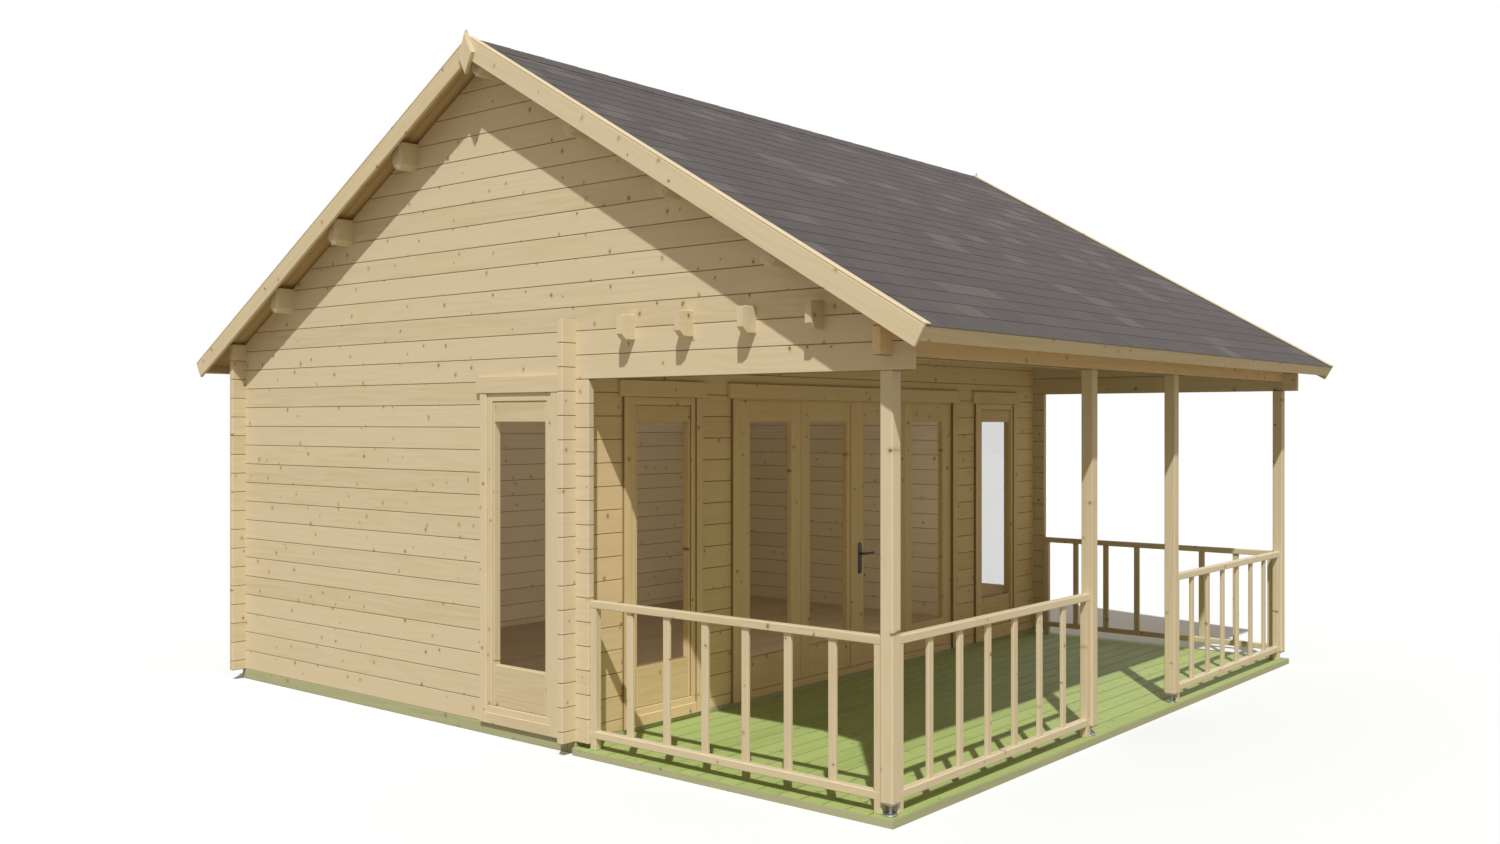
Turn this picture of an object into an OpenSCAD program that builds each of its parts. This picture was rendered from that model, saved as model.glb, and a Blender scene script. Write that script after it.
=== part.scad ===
// Log garden house with a side veranda under one gable roof.
// X runs across the gables with the veranda at +X, Y runs along the ridge, Z is up.
// The origin is on the ground under the middle of the ridge.

/* [House] */
// Width across the gables, from the back wall's face to the posts' face
house_w = 5640; // [5000:10:6400]
// Length along the ridge, between the outer faces of the gables
house_l = 5410; // [5200:10:6400]
// Depth of the veranda, from the inner wall's face to the posts' face
veranda_d = 2115; // [1900:5:2300]
// Height of the ground beams under the walls
base_h = 70; // [40:1:80]
// Width of the ground beams
beam_w = 70; // [60:1:100]
// Thickness of the room's floor boards
floor_t = 22; // [18:1:30]

/* [Logs] */
// Thickness of a wall log
log_t = 44; // [34:1:60]
// Height of one log course
log_h = 135; // [130:1:145]
// Length of the log ends past a crossing
log_end = 102; // [80:1:140]
// Log courses from the ground beams to the window and door heads
head_courses = 14.5; // [14:0.5:16]

/* [Roof] */
// Slope of the roof in degrees
roof_pitch = 30.25; // [24:0.25:36]
// Height of the roof's underside over the lintel's underside, at the outer faces
eave_rise = 325; // [260:1:360]
// Overhang of the roof boards at the eaves
eave_overhang = 267; // [180:1:320]
// Overhang of the verges, from a gable's face to the bargeboard's face
verge_overhang = 195; // [160:1:320]
// Thickness of the roof boards
roof_board_t = 19; // [16:1:28]
// Thickness of the shingles
shingle_t = 8; // [5:1:14]
// Width of the shingle strip on each side of the ridge
ridge_cap_w = 160; // [120:1:220]
// Width of the bargeboards
barge_w = 110; // [90:1:150]
// Thickness of the bargeboards
barge_t = 20; // [16:1:28]
// Width of the cap strips on the verges
verge_cap_w = 48; // [36:1:70]
// Thickness of the cap strips on the verges
verge_cap_t = 11; // [8:1:24]
// Width of the eave boards
fascia_w = 80; // [70:1:130]
// Thickness of the eave boards
fascia_t = 18; // [14:1:28]
// Width of the finials
finial_w = 130; // [90:1:170]
// Height of the finials
finial_h = 258; // [220:1:340]
// Thickness of the finials
finial_t = 26; // [16:1:34]

/* [Beams] */
// Width of the purlins and the ridge beam
purlin_w = 95; // [70:1:120]
// Height of the purlins and the ridge beam
purlin_h = 180; // [110:1:220]
// Chamfer on the lower edges of the purlins
purlin_chamfer = 30; // [10:1:34]
// Gap between the purlins' ends and the bargeboards
purlin_short = 38; // [0:1:80]
// Distance from the ridge to the first purlin
purlin_first = 780; // [760:1:840]
// Distance from the last purlin to the posts' face
purlin_inset = 636; // [560:1:720]
// Distance from the inner wall's face to the far face of the first joist
joist_first = 465; // [380:1:500]
// Distance between the veranda's joists
joist_step = 421; // [360:1:480]
// Chamfer on the lower ends of the joists
joist_chamfer = 30; // [20:1:60]

/* [Veranda] */
// Width of the square posts
post_w = 70; // [60:1:100]
// Height of the screw feet under the posts
foot_h = 58; // [40:1:90]
// Inset of the feet's base discs from the posts' faces
foot_inset = 1; // [1:1:10]
// Diameter of the feet's rods
foot_rod_d = 20; // [14:1:28]
// Thickness of the feet's plates
foot_plate_t = 6; // [4:1:8]
// Clear width of the entrance between the middle posts
entrance_w = 1130; // [1000:10:1500]
// Thickness of the deck boards
deck_t = 26; // [20:1:32]
// Height of the bearers under the deck
bearer_h = 16; // [14:1:30]
// Width of the bearers under the deck
bearer_w = 70; // [50:1:100]
// Bearers under the deck
bearer_count = 7; // [5:1:11]
// Deck past the posts at the eave
deck_past_eave = 18; // [10:1:120]
// Deck past the gables
deck_past_gable = 25; // [10:1:140]

/* [Railings] */
// Height of the top rail over the deck
rail_top = 825; // [760:1:950]
// Height of a rail's section
rail_h = 42; // [32:1:60]
// Depth of a rail's section
rail_d = 45; // [36:1:60]
// Height of the low rail over the deck
low_rail_z = 62; // [50:1:140]
// Width of the slats and end uprights
slat_w = 45; // [36:1:60]
// Thickness of the slats
slat_t = 18; // [14:1:28]
// Target distance between slats
slat_step = 274; // [200:1:320]

/* [Windows] */
// Width over a window's casing
window_w = 686; // [600:1:760]
// Distance from the inner wall to the casing of a gable window
gable_window_gap = 86; // [70:1:160]
// Distance from the middle of the house to the middle of a veranda window
veranda_window_y = 1998; // [1950:1:2060]
// Width of the casing boards
casing_w = 60; // [50:1:80]
// Thickness of the casing boards
casing_t = 18; // [12:1:26]
// Cover of the casing boards over the logs
casing_lap = 30; // [20:1:40]
// Height of the head boards over the windows and the door
head_board_h = 97; // [70:1:120]
// Thickness of the head boards
head_board_t = 24; // [18:1:32]
// Cover of the head boards under the head
head_board_drop = 22; // [0:1:40]
// Rise of the gable windows' head boards over the other ones
gable_head_rise = 21; // [0:1:30]
// Length of the head boards past the casing on each side
head_board_past = 32; // [0:1:50]
// Width of a window's sash beside the glass
sash_w = 54; // [44:1:70]
// Depth of the sash behind the casing's face
sash_back = 13; // [6:1:26]
// Depth of the middle of a window's pane behind the log face
pane_back = 38; // [10:1:39]
// Height of the glass over the ground beams
glass_low = 350; // [300:1:450]
// Distance from the head down to a window's glass
glass_drop = 170; // [140:1:200]
// Thickness of a pane
glass_t = 6; // [4:1:12]

/* [Door] */
// Width of one of the four door leaves
leaf_w = 640; // [620:1:660]
// Thickness of a door leaf
leaf_t = 40; // [32:1:42]
// Gap between two door leaves
leaf_gap = 3; // [2:1:6]
// Width of a leaf's stiles
stile_w = 101; // [70:1:120]
// Width of the door's casing boards
door_casing_w = 73; // [60:1:100]
// Cover of the door's casing over the logs
door_lap = 25; // [20:1:40]
// Width of the frame's posts between the casing and the outer leaves
door_reveal = 19; // [10:1:40]
// Height of the door's sill
sill_h = 46; // [36:1:60]
// Height of the door's head rail
head_rail_h = 27; // [24:1:60]
// Height of a leaf's lower panel
leaf_panel_h = 214; // [180:1:320]
// Height of a leaf's top rail
leaf_top_h = 142; // [100:1:170]
// Depth of the middle of the glass behind a leaf's face
leaf_glass_back = 33; // [10:1:34]
// Width of the strip that covers the meeting stiles
meeting_strip_w = 62; // [40:1:70]
// Thickness of the strip that covers the meeting stiles
meeting_strip_t = 12; // [8:1:18]
// Height of the lever over the sill
lever_z = 800; // [700:1:950]
// Length of the lever
lever_l = 120; // [90:1:140]
// Height of the handle's plate
handle_plate_h = 225; // [180:1:260]
// Width of the handle's plate
handle_plate_w = 38; // [30:1:50]

/* [Hidden] */

// Colours of the finishes
spruce = [0.80, 0.70, 0.50];
sawn = [0.72, 0.60, 0.40];
treated = [0.52, 0.58, 0.34];
bitumen = [0.34, 0.32, 0.32];
zinc = [0.55, 0.56, 0.57];
pane = [0.45, 0.50, 0.52, 0.4];

// Gap between pieces that are cut to length beside each other
joint = 1;
// Overshoot of a cut past a face
cut = 5;
// Height of a window's bottom casing board
window_foot = 95;
// Purlins on each slope
purlin_count = 3;
// Door leaves beside each other
leaf_count = 4;
// Diameter of the lever's bar
lever_d = 18;
// Distance of the lever from the plate
lever_out = 42;
// Thickness of the handle's plate
handle_plate_t = 8;
// Share of the handle's plate under the lever
plate_under = 0.65;
// Share of a finial over the cap strips
finial_over = 0.1;
// Shares of a finial's height from its tip to its neck and its shoulders
finial_neck = 0.27;
finial_shoulder = 0.54;
// Width of a finial's neck as a share of its full width
finial_neck_w = 0.4;

half_w = house_w / 2;
half_l = house_l / 2;
purlin_step = (half_w - purlin_inset - purlin_first) / (purlin_count - 1);
wall_x = half_w - veranda_d;
room_x = wall_x - log_t;
back_x = -half_w + log_t;
end_l = half_l + log_end;
inner_l = half_l - log_t;

head_z = base_h + head_courses * log_h;
lintel_z = head_z + log_h / 2;
beam_z = lintel_z + log_h / 2;
joist_z = lintel_z + 1.5 * log_h;
joist_top = joist_z + log_h;
deck_top = bearer_h + deck_t;
foot_d = post_w - 2 * foot_inset;

slope = tan(roof_pitch);
apex_z = lintel_z + eave_rise + half_w * slope;
roof_t = roof_board_t + shingle_t;
roof_s = (half_w + eave_overhang) / cos(roof_pitch);
verge_y = half_l + verge_overhang;
barge_y = verge_y - barge_t;
cap_y = verge_y - verge_cap_w;
purlin_y = barge_y - purlin_short;

opening_w = window_w - 2 * casing_lap;
gable_window_x = room_x - gable_window_gap - window_w / 2;
window_left = gable_window_x - opening_w / 2;
window_right = gable_window_x + opening_w / 2;
glass_w = window_w - 2 * (casing_w + sash_w);
glass_z = base_h + glass_low;
glass_top = head_z - glass_drop;

door_half = leaf_count * leaf_w / 2;
door_outer = door_half + door_reveal + door_casing_w;
door_opening = door_outer - door_lap;
leaf_z = base_h + sill_h;
leaf_top = head_z - head_rail_h;
leaf_x = wall_x - (log_t - leaf_t) / 2;
leaf_glass_z = leaf_z + leaf_panel_h;
leaf_glass_top = leaf_top - leaf_top_h;

// Height of the roof's underside at a distance from the ridge
function under(x) = apex_z - abs(x) * slope;

// Point at a distance down the slope and a height square to it
function on_slope(s, t) = [
    s * cos(roof_pitch) + t * sin(roof_pitch),
    apex_z - s * sin(roof_pitch) + t * cos(roof_pitch)
];

// Point over the ridge line at a height square to the slope, at a distance beside it
function at_ridge(x, t) = [x, under(x) + t / cos(roof_pitch)];

// Outline in X and Z carried along Y
module along_ridge(y0, y1) {
    translate([0, y1, 0]) rotate([90, 0, 0]) linear_extrude(y1 - y0) children();
}

// Outline in Y and Z carried along X
module across(x0, x1) {
    translate([x0, 0, 0]) rotate([90, 0, 90]) linear_extrude(x1 - x0) children();
}

// Block between two corners
module block(low, high) {
    translate(low) cube(high - low);
}

// The same piece at the other gable
module at_rear() {
    mirror([0, 1, 0]) children();
}

// The same piece on the back slope
module at_back() {
    mirror([1, 0, 0]) children();
}

// Piece and its like at the other gable
module both_gables() {
    children();
    at_rear() children();
}

// Piece and its like on the back slope
module both_slopes() {
    children();
    at_back() children();
}

// Ground beams under the walls and bearers under the deck
module base_beams() {
    reach = half_l + deck_past_gable;
    bearer_step = (2 * reach - bearer_w) / (bearer_count - 1);
    color(treated) {
        both_gables() block([-half_w + beam_w + joint, -half_l, 0],
                            [wall_x - beam_w - joint, -half_l + beam_w, base_h]);
        block([-half_w, -half_l, 0], [-half_w + beam_w, half_l, base_h]);
        block([wall_x - beam_w, -half_l, 0], [wall_x, half_l, base_h]);
        for (i = [0 : bearer_count - 1]) {
            y = -reach + i * bearer_step;
            block([wall_x + joint, y, 0], [half_w + deck_past_eave, y + bearer_w, bearer_h]);
        }
    }
}

module room_floor() {
    color(sawn) block([back_x + joint, -inner_l + joint, base_h],
                      [room_x - joint, inner_l - joint, base_h + floor_t]);
}

module veranda_deck() {
    reach = half_l + deck_past_gable;
    color(treated) block([wall_x + joint, -reach, bearer_h],
                         [half_w + deck_past_eave, reach, deck_top]);
}

// Wall between two X faces, up to the roof's underside
module wall_to_roof(x0, x1, z0) {
    polygon([[x0, z0], [x1, z0], [x1, under(x1)], [x0, under(x0)]]);
}

module back_wall() {
    color(spruce) along_ridge(-end_l, end_l) wall_to_roof(-half_w, back_x, base_h);
}

// Gable wall on the room's side of the window, with the log ends past the back wall
module gable_wall() {
    color(spruce) {
        block([back_x, -half_l, base_h], [window_left, -inner_l, lintel_z]);
        along_ridge(-half_l, -inner_l) wall_to_roof(-half_w - log_end, -half_w, base_h);
    }
}

// Gable wall between the window and the inner wall, with the log ends past that wall
module gable_pier() {
    color(spruce) {
        block([window_right, -half_l, base_h], [room_x, -inner_l, lintel_z]);
        block([wall_x, -half_l, base_h], [wall_x + log_end, -inner_l, lintel_z]);
    }
}

// Section of the ridge beam, and how far its slot reaches over the roof's underside
module ridge_section(over = 0) {
    low = apex_z - purlin_h;
    side = purlin_w / 2;
    polygon([
        [0, apex_z + over], [side, under(side) + over], [side, low + purlin_chamfer],
        [side - purlin_chamfer, low], [purlin_chamfer - side, low],
        [-side, low + purlin_chamfer], [-side, under(side) + over]
    ]);
}

// Section of one purlin under the slope at +X, and the same for its slot
module purlin_section(x, over = 0) {
    low = under(x) - purlin_h;
    near = x - purlin_w / 2;
    far = x + purlin_w / 2;
    polygon([
        [near, under(near) + over], [far, under(far) + over], [far, low + purlin_chamfer],
        [far - purlin_chamfer, low], [near + purlin_chamfer, low], [near, low + purlin_chamfer]
    ]);
}

// Distance of each purlin from the ridge
purlin_places = [for (i = [0 : purlin_count - 1]) purlin_first + i * purlin_step];

// X of each veranda joist's far face
joist_room = veranda_d - joist_first - joist_step / 2;
joist_places = [for (i = [0 : floor(joist_room / joist_step)]) wall_x + joist_first + i * joist_step];

// Gable over the openings, cut out for the beams and the inner wall that pass through it
module gable_top() {
    reach = half_w + log_end;
    color(spruce) along_ridge(-half_l, -inner_l) difference() {
        polygon([[back_x, lintel_z], [reach, lintel_z], [reach, under(reach)],
                 [0, apex_z], [back_x, under(back_x)]]);
        translate([room_x, lintel_z - cut]) square([log_t, joist_top - lintel_z + cut]);
        translate([half_w - log_t, beam_z]) square([log_t, apex_z - beam_z]);
        ridge_section(cut);
        for (x = purlin_places) {
            purlin_section(x, cut);
            mirror([1, 0]) purlin_section(x, cut);
        }
        for (x = joist_places) translate([x - log_t, joist_z]) square([log_t, log_h]);
    }
}

module front_gable_wall() { gable_wall(); }
module front_gable_pier() { gable_pier(); }
module front_gable_top() { gable_top(); }
module rear_gable_wall() { at_rear() gable_wall(); }
module rear_gable_pier() { at_rear() gable_pier(); }
module rear_gable_top() { at_rear() gable_top(); }

// Half logs over the gable windows
module window_heads() {
    color(spruce) both_gables() block([window_left, -half_l, head_z], [window_right, -inner_l, lintel_z]);
}

// Inner wall beside its openings, with the log ends past the gables
module veranda_wall_piers() {
    window_in = veranda_window_y - opening_w / 2;
    window_out = veranda_window_y + opening_w / 2;
    color(spruce) both_gables() {
        block([room_x, -end_l, base_h], [wall_x, -window_out, head_z]);
        block([room_x, -window_in, base_h], [wall_x, -door_opening, head_z]);
    }
}

module veranda_wall_header() {
    color(spruce) {
        along_ridge(-inner_l, inner_l) wall_to_roof(room_x, wall_x, head_z);
        both_gables() block([room_x, -end_l, head_z], [wall_x, -inner_l, joist_top]);
    }
}

module eave_beam() {
    color(spruce) along_ridge(-end_l, end_l) wall_to_roof(half_w - log_t, half_w, beam_z);
}

module veranda_joists() {
    color(spruce) for (x = joist_places) across(x - log_t, x) polygon([
        [-end_l, joist_top], [-end_l, joist_z + joist_chamfer], [-end_l + joist_chamfer, joist_z],
        [end_l - joist_chamfer, joist_z], [end_l, joist_z + joist_chamfer], [end_l, joist_top]
    ]);
}

module ridge_beam() {
    color(spruce) along_ridge(-purlin_y, purlin_y) ridge_section();
}

// Purlins of the slope at +X
module purlins() {
    color(spruce) for (x = purlin_places) along_ridge(-purlin_y, purlin_y) purlin_section(x);
}

module back_purlins() { at_back() purlins(); }
module veranda_purlins() { purlins(); }

// Near corner of each post on one half of the house, with its top
post_places = [[half_l - post_w, lintel_z], [entrance_w / 2, beam_z]];

module veranda_posts() {
    color(spruce) both_gables() for (p = post_places) {
        block([half_w - post_w, -p[0] - post_w, deck_top + foot_h], [half_w, -p[0], p[1]]);
    }
}

// Screw foot with its plate, rod and base disc
module screw_foot() {
    cylinder(h = foot_plate_t, d = foot_d);
    cylinder(h = foot_h, d = foot_rod_d);
    translate([-post_w / 2, -post_w / 2, foot_h - foot_plate_t]) cube([post_w, post_w, foot_plate_t]);
}

module post_feet() {
    color(zinc) both_gables() for (p = post_places) {
        translate([half_w - post_w / 2, -p[0] - post_w / 2, deck_top]) screw_foot($fn = 64);
    }
}

// Railing panel of a given length along X, its middle plane at Y = 0, on the deck
module railing_panel(length) {
    bays = round(length / slat_step);
    step = (length - slat_w) / bays;
    top = deck_top + rail_top;
    low = deck_top + low_rail_z;
    color(spruce) {
        block([0, -rail_d / 2, top - rail_h], [length, rail_d / 2, top]);
        block([0, -rail_d / 2, low], [length, rail_d / 2, low + rail_h]);
        for (i = [0 : bays]) {
            is_end = i == 0 || i == bays;
            depth = is_end ? rail_d : slat_t;
            foot = is_end ? deck_top : low;
            block([i * step, -depth / 2, foot], [i * step + slat_w, depth / 2, top - rail_h / 2]);
        }
    }
}

// Railing between the log ends of the inner wall and the corner post
module gable_railing() {
    start = wall_x + log_end;
    translate([start, -half_l + post_w / 2, 0]) railing_panel(half_w - post_w - start);
}

// Railing between the corner post and a middle post
module bay_railing() {
    start = entrance_w / 2 + post_w;
    translate([half_w - post_w / 2, -half_l + post_w, 0])
        rotate([0, 0, 90]) railing_panel(half_l - post_w - start);
}

module front_railing() { gable_railing(); }
module rear_railing() { at_rear() gable_railing(); }
module front_bay_railing() { bay_railing(); }
module rear_bay_railing() { at_rear() bay_railing(); }

// Layer of the slope at +X between two heights square to it
module roof_layer(t0, t1) {
    polygon([at_ridge(0, t0), on_slope(roof_s, t0), on_slope(roof_s, t1), at_ridge(0, t1)]);
}

module roof_boards() {
    color(sawn) along_ridge(-barge_y, barge_y) roof_layer(0, roof_board_t);
}

module shingles() {
    color(bitumen) along_ridge(-barge_y, barge_y) roof_layer(roof_board_t, roof_t);
}

module back_roof_boards() { at_back() roof_boards(); }
module veranda_roof_boards() { roof_boards(); }
module back_shingles() { at_back() shingles(); }
module veranda_shingles() { shingles(); }

module ridge_cap() {
    color(bitumen) along_ridge(-cap_y, cap_y) both_slopes() polygon([
        at_ridge(0, roof_t), on_slope(ridge_cap_w, roof_t),
        on_slope(ridge_cap_w, roof_t + shingle_t), at_ridge(0, roof_t + shingle_t)
    ]);
}

// Board along a verge at +X between two heights square to the slope
module verge_board(t0, t1) {
    foot_s = roof_s + fascia_t;
    polygon([at_ridge(joint, t0), on_slope(foot_s, t0), on_slope(foot_s, t1), at_ridge(joint, t1)]);
}

module bargeboards() {
    color(spruce) both_slopes() along_ridge(-verge_y, -barge_y) verge_board(roof_t - barge_w, roof_t);
}

module front_bargeboards() { bargeboards(); }
module rear_bargeboards() { at_rear() bargeboards(); }

module verge_caps() {
    color(spruce) both_gables() both_slopes()
        along_ridge(-verge_y, -cap_y) verge_board(roof_t, roof_t + verge_cap_t);
}

module eave_fascias() {
    color(spruce) both_slopes() along_ridge(-barge_y, barge_y) polygon([
        on_slope(roof_s, roof_t - fascia_w), on_slope(roof_s + fascia_t, roof_t - fascia_w),
        on_slope(roof_s + fascia_t, roof_t), on_slope(roof_s, roof_t)
    ]);
}

// Pointed board over the joint of the bargeboards
module finials() {
    top = apex_z + (roof_t + verge_cap_t) / cos(roof_pitch) + finial_over * finial_h;
    shoulder = top - finial_shoulder * finial_h;
    neck = top - finial_neck * finial_h;
    side = finial_w / 2;
    color(spruce) both_gables() along_ridge(-verge_y - finial_t, -verge_y) polygon([
        [0, top], [finial_neck_w * side, neck], [side, shoulder], [0, top - finial_h],
        [-side, shoulder], [-finial_neck_w * side, neck]
    ]);
}

// Board over a casing of a given half width, from its outside at Y = 0, centred on X
module head_board(half, rise = 0) {
    reach = half + head_board_past;
    low = head_z - head_board_drop + rise;
    block([-reach, -head_board_t, low], [reach, 0, low + head_board_h]);
}

// Window from its outside at Y = 0, centred on X: casing, sash and lower panel in one
module window_frame(rise = 0) {
    inner = window_w / 2 - casing_w;
    color(spruce) difference() {
        union() {
            block([-opening_w / 2, 0, base_h], [opening_w / 2, log_t, head_z]);
            block([-window_w / 2, -casing_t, base_h], [window_w / 2, 0, head_z]);
            head_board(window_w / 2, rise);
        }
        block([-inner, -casing_t - cut, base_h + window_foot], [inner, sash_back - casing_t, head_z - casing_w]);
        block([-glass_w / 2, -casing_t - cut, glass_z], [glass_w / 2, log_t + cut, glass_top]);
    }
}

// Pane near the back of a window's sash
module window_pane() {
    color(pane) block([-glass_w / 2, pane_back - glass_t / 2, glass_z],
                      [glass_w / 2, pane_back + glass_t / 2, glass_top]);
}

// Places of the windows in the walls
module at_gable_window() {
    translate([gable_window_x, -half_l, 0]) children();
}

module at_veranda_window() {
    translate([wall_x, -veranda_window_y, 0]) rotate([0, 0, 90]) children();
}

module front_window_frame() { at_gable_window() window_frame(gable_head_rise); }
module rear_window_frame() { at_rear() at_gable_window() window_frame(gable_head_rise); }
module veranda_window_frames() { both_gables() at_veranda_window() window_frame(); }

module window_glass() {
    both_gables() {
        at_gable_window() window_pane();
        at_veranda_window() window_pane();
    }
}

// Casing, posts, sill and head around the four door leaves
module door_frame() {
    clear = door_half + door_reveal;
    color(spruce) difference() {
        union() {
            block([room_x, -door_opening, base_h], [wall_x, door_opening, head_z]);
            block([wall_x, -door_outer, base_h], [wall_x + casing_t, door_outer, head_z]);
            translate([wall_x, 0, 0]) rotate([0, 0, 90]) head_board(door_outer);
        }
        block([room_x - cut, -door_half, leaf_z], [wall_x + casing_t + cut, door_half, leaf_top]);
        block([wall_x, -clear, leaf_z], [wall_x + casing_t + cut, clear, leaf_top]);
    }
}

// Middle of a door leaf along Y, counted from the photographed gable
function leaf_y(i) = (i - (leaf_count - 1) / 2) * leaf_w;

// Outer leaves touch the frame's posts, and a gap is left between neighbours
function leaf_low(i) = leaf_y(i) - leaf_w / 2 + (i == 0 ? 0 : leaf_gap / 2);
function leaf_high(i) = leaf_y(i) + leaf_w / 2 - (i == leaf_count - 1 ? 0 : leaf_gap / 2);

// Door leaf with its stiles, rails and lower panel, cut out for the glass
module door_leaf(i) {
    color(spruce) difference() {
        block([leaf_x - leaf_t, leaf_low(i), leaf_z], [leaf_x, leaf_high(i), leaf_top]);
        block([leaf_x - leaf_t - cut, leaf_y(i) - leaf_w / 2 + stile_w, leaf_glass_z],
              [leaf_x + cut, leaf_y(i) + leaf_w / 2 - stile_w, leaf_glass_top]);
    }
}

module left_outer_leaf() { door_leaf(0); }

// Inner leaf with the strip that covers the meeting stiles
module left_inner_leaf() {
    door_leaf(1);
    color(spruce) block([leaf_x, leaf_high(1) - meeting_strip_w, leaf_z],
                        [leaf_x + meeting_strip_t, leaf_high(1), leaf_top]);
}

module right_inner_leaf() { door_leaf(2); }
module right_outer_leaf() { door_leaf(3); }

module door_glass() {
    mid = leaf_x - leaf_glass_back;
    color(pane) for (i = [0 : leaf_count - 1]) {
        block([mid - glass_t / 2, leaf_y(i) - leaf_w / 2 + stile_w, leaf_glass_z],
              [mid + glass_t / 2, leaf_y(i) + leaf_w / 2 - stile_w, leaf_glass_top]);
    }
}

// Long plate with a lever on the meeting stile of the right inner leaf
module door_handle() {
    y = leaf_low(2) + stile_w / 2;
    z = leaf_z + lever_z;
    plate_low = z - plate_under * handle_plate_h;
    color(zinc) {
        block([leaf_x, y - handle_plate_w / 2, plate_low],
              [leaf_x + handle_plate_t, y + handle_plate_w / 2, plate_low + handle_plate_h]);
        translate([leaf_x, y, z]) rotate([0, 90, 0]) cylinder(h = lever_out + lever_d / 2, d = lever_d, $fn = 48);
        translate([leaf_x + lever_out, y, z]) rotate([-90, 0, 0]) cylinder(h = lever_l, d = lever_d, $fn = 48);
    }
}

base_beams();
room_floor();
veranda_deck();
back_wall();
front_gable_wall();
front_gable_pier();
front_gable_top();
rear_gable_wall();
rear_gable_pier();
rear_gable_top();
window_heads();
veranda_wall_piers();
veranda_wall_header();
eave_beam();
veranda_joists();
ridge_beam();
back_purlins();
veranda_purlins();
veranda_posts();
post_feet();
front_railing();
rear_railing();
front_bay_railing();
rear_bay_railing();
back_roof_boards();
veranda_roof_boards();
back_shingles();
veranda_shingles();
ridge_cap();
front_bargeboards();
rear_bargeboards();
verge_caps();
eave_fascias();
finials();
front_window_frame();
rear_window_frame();
veranda_window_frames();
window_glass();
door_frame();
left_outer_leaf();
left_inner_leaf();
right_inner_leaf();
right_outer_leaf();
door_glass();
door_handle();
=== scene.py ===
import math

import bmesh
import bpy
import numpy as np
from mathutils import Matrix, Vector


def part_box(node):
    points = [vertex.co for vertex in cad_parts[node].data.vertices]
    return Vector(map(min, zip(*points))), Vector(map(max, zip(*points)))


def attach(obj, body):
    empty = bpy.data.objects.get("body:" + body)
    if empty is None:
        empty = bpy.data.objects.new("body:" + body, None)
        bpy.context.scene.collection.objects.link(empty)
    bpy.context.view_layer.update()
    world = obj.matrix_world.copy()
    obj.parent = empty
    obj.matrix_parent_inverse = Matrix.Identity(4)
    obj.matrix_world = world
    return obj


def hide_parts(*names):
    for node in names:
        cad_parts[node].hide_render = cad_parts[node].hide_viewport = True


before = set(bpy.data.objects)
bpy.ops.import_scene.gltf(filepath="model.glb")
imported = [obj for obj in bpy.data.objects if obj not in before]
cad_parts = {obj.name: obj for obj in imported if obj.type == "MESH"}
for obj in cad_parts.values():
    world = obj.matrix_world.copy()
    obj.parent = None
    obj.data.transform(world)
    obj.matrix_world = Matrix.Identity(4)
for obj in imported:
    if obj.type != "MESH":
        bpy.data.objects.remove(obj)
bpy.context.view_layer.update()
dice = np.random.default_rng(11)
print("frame loaded,", len(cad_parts), "nodes")


def corners(node):
    # lowest and highest corner of a frame node as arrays
    low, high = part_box(node)
    return np.array(low), np.array(high)


# sizes that every piece shares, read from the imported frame
backLow, backHigh = corners("back_wall")
topLow, topHigh = corners("front_gable_top")
headLow, headHigh = corners("veranda_wall_header")
deckLow, deckHigh = corners("veranda_deck")
boardHigh = corners("veranda_roof_boards")[1]
joistLow, joistHigh = corners("veranda_joists")

halfW, halfL = -backLow[0], -topLow[1]
backX, wallX, roomX = backHigh[0], headHigh[0], headLow[0]
logT, logEnd, endL = wallX - roomX, topHigh[0] - halfW, backHigh[1]
innerL = halfL - logT
baseZ, headZ, lintelZ = backLow[2], headLow[2], topLow[2]
beamZ = corners("eave_beam")[0][2]
logH = 2 * (lintelZ - headZ)
apexZ = corners("ridge_beam")[1][2]
slope = (apexZ - backHigh[2]) / -backX
pitch = math.atan(slope)
vergeY, roofY = -corners("front_bargeboards")[0][1], boardHigh[1]
deckZ = deckHigh[2]

down = np.array([math.cos(pitch), 0, -math.sin(pitch)])  # down the veranda's slope
square = np.array([math.sin(pitch), 0, math.cos(pitch)])  # square to it
axisX, axisY, axisZ = np.eye(3)
white = (1, 1, 1, 1)


def under(x):
    # height of the roof's underside at a distance from the ridge
    return apexZ - abs(x) * slope


def srgb(r, g, b):
    # screen colour of 0 to 255 as linear light with full alpha
    c = np.array([r, g, b]) / 255
    return (*np.where(c < 0.04045, c / 12.92, ((c + 0.055) / 1.055) ** 2.4), 1.0)


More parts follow.
